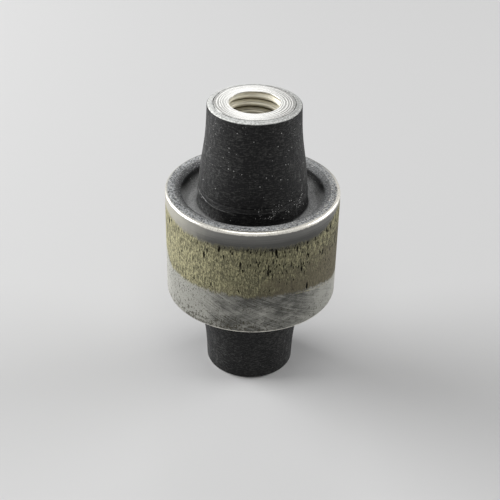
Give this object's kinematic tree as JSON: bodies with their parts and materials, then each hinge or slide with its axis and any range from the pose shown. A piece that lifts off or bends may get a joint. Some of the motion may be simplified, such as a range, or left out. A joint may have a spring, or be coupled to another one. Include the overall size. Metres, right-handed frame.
{
  "type": "rubber metal bush",
  "caption": "Rubber metal bush: a threaded aluminium core bonded by a double-cone rubber body inside a short aluminium sleeve.",
  "frame": {"origin": "centre of the lower end face, on which the bush stands", "axes": "+Z along the bush's axis, from the lower end face to the upper one; X and Y are free"},
  "size_m": [0.036, 0.036, 0.062],
  "materials": {
    "core_metal": "faced bright",
    "sleeve_metal": "worn, stained and scratched",
    "rubber": "moulded, dusty and scuffed"
  },
  "bodies": {
    "root": {"inner_core": "core_metal", "outer_sleeve": "sleeve_metal", "rubber_body": "rubber"}
  },
  "joints": []
}
